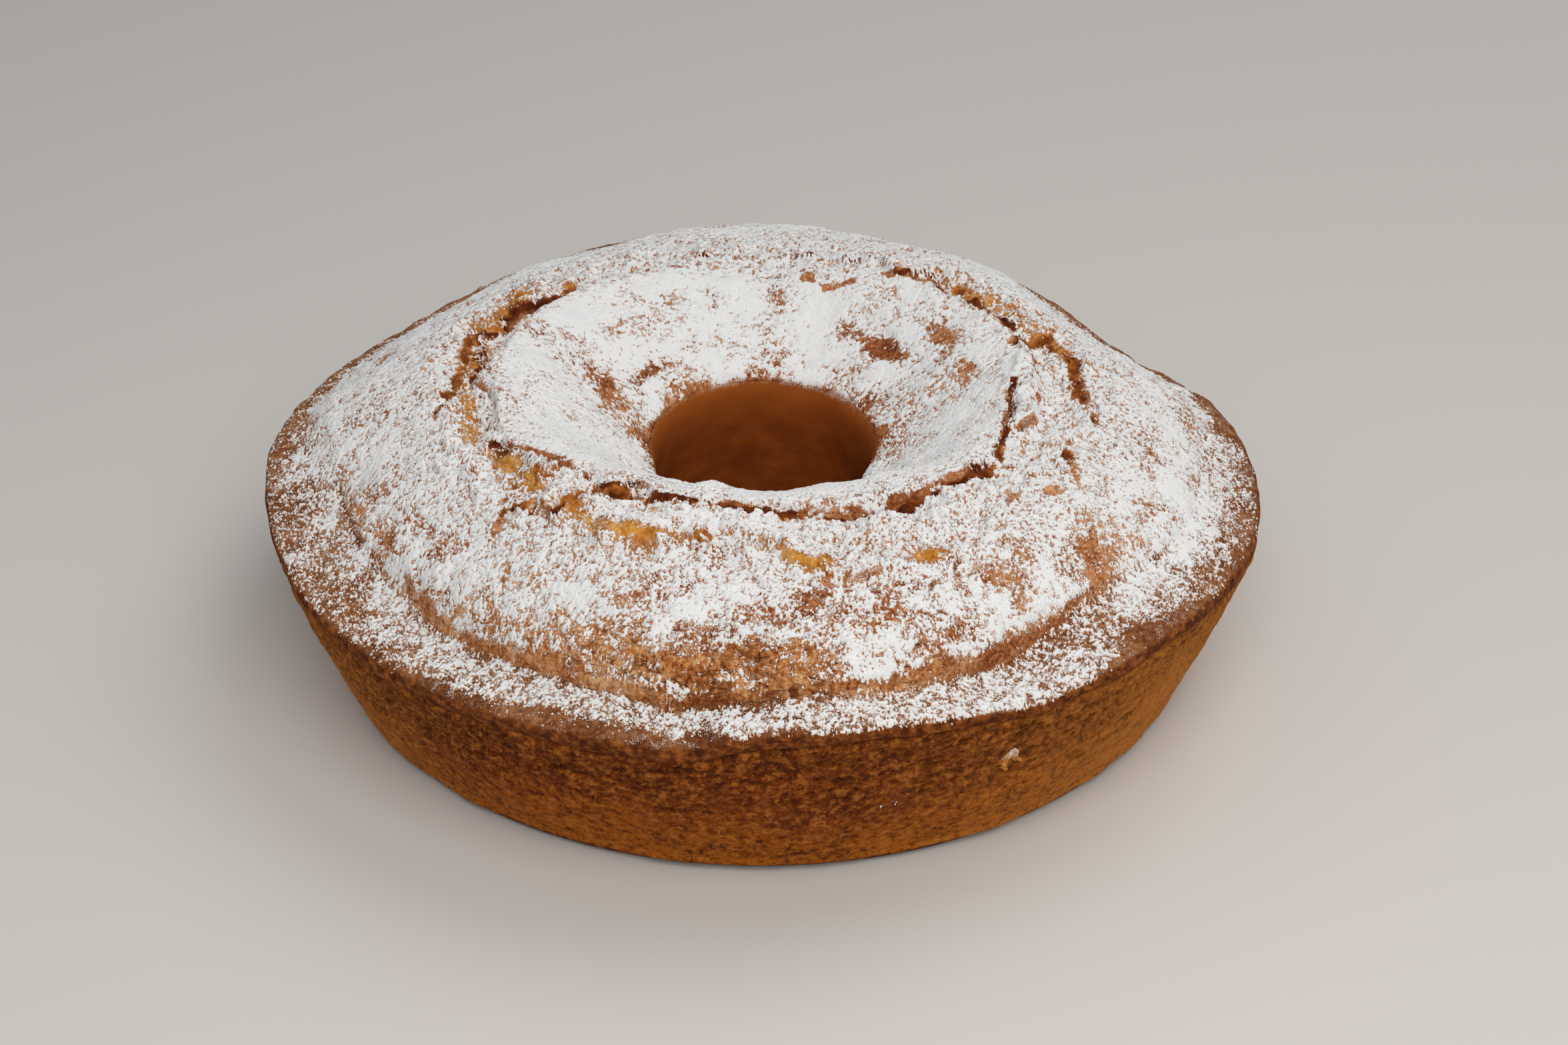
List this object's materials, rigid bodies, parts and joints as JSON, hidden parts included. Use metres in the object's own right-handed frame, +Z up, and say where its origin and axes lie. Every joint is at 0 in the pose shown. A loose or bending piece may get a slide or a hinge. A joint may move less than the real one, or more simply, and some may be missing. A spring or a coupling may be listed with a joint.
{
  "type": "bundt cake",
  "caption": "Plain round ring cake with a smooth flared wall, a narrow ledge, a cracked risen top and a central hole, dusted with icing sugar.",
  "frame": {"origin": "under the middle of the cake, on the surface it stands on", "axes": "+Z up through the hole; -Y towards the side with the small tongue of batter on the lip"},
  "size_m": [0.26, 0.26, 0.0741],
  "materials": {
    "sponge_crust": "matte browned sponge crust with fine pores",
    "icing_sugar": "matte white powder in small clumps"
  },
  "bodies": {
    "root": {"cake": "sponge_crust"}
  },
  "joints": []
}
